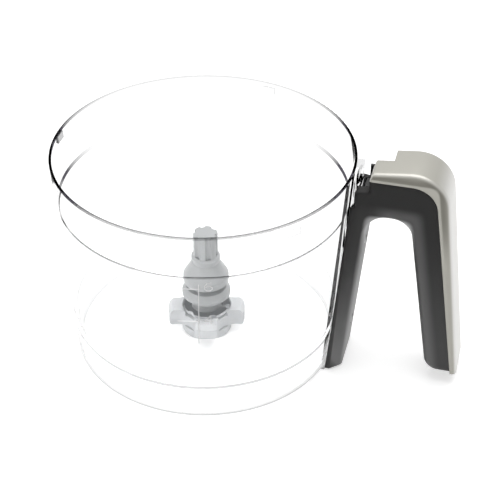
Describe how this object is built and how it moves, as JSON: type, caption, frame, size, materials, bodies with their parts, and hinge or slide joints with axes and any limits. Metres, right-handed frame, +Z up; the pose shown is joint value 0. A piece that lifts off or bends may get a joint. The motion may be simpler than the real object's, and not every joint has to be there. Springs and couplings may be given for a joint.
{
  "type": "food processor bowl",
  "caption": "Clear tapered processor bowl with a foot skirt, a two-legged handle with a satin cover, a splined spindle through its floor and a sprung interlock rod.",
  "frame": {"origin": "on the bowl's axis, in the plane of its foot", "axes": "+Z up along the bowl's axis, +X towards the handle"},
  "size_m": [0.248, 0.1764, 0.1424],
  "materials": {
    "clear_plastic": "clear, polished",
    "soft_grip": "dark grey, soft touch",
    "satin_cover": "champagne grey, satin",
    "spindle_plastic": "light blue-grey, satin",
    "coupling_plastic": "light grey, satin",
    "black_plastic": "black, matt",
    "steel": "ground",
    "bronze": "sintered",
    "seal_rubber": "matt"
  },
  "bodies": {
    "bowl": {"bowl": "clear_plastic", "handle_grip": "soft_grip", "handle_cover": "satin_cover", "interlock_bezel": "black_plastic", "handle_screws": "steel", "cover_screw": "steel", "rod_guide": "black_plastic", "return_spring": "steel", "bearing_housing": "spindle_plastic", "housing_nut": "coupling_plastic", "hub_gasket": "seal_rubber", "upper_bush": "bronze", "lower_bush": "bronze", "shaft_seal": "seal_rubber"},
    "spindle": {"spindle": "spindle_plastic", "drive_shaft": "steel", "drive_coupling": "coupling_plastic", "thrust_washer": "steel", "retaining_ring": "steel"},
    "interlock": {"interlock_rod": "steel", "rod_button": "black_plastic"}
  },
  "joints": [
    {"name": "spindle_spin", "type": "hinge", "parent": "bowl", "child": "spindle", "pos_m": [0, 0, 0.03], "axis": [0, 0, 1], "continuous": true},
    {"name": "interlock_slide", "type": "slide", "parent": "bowl", "child": "interlock", "axis": [-0.0736, 0, -0.9973], "range_m": [0, 0.004], "stiffness_N_per_m": 300, "springref_m": -0.003, "deforming": ["return_spring"]}
  ]
}
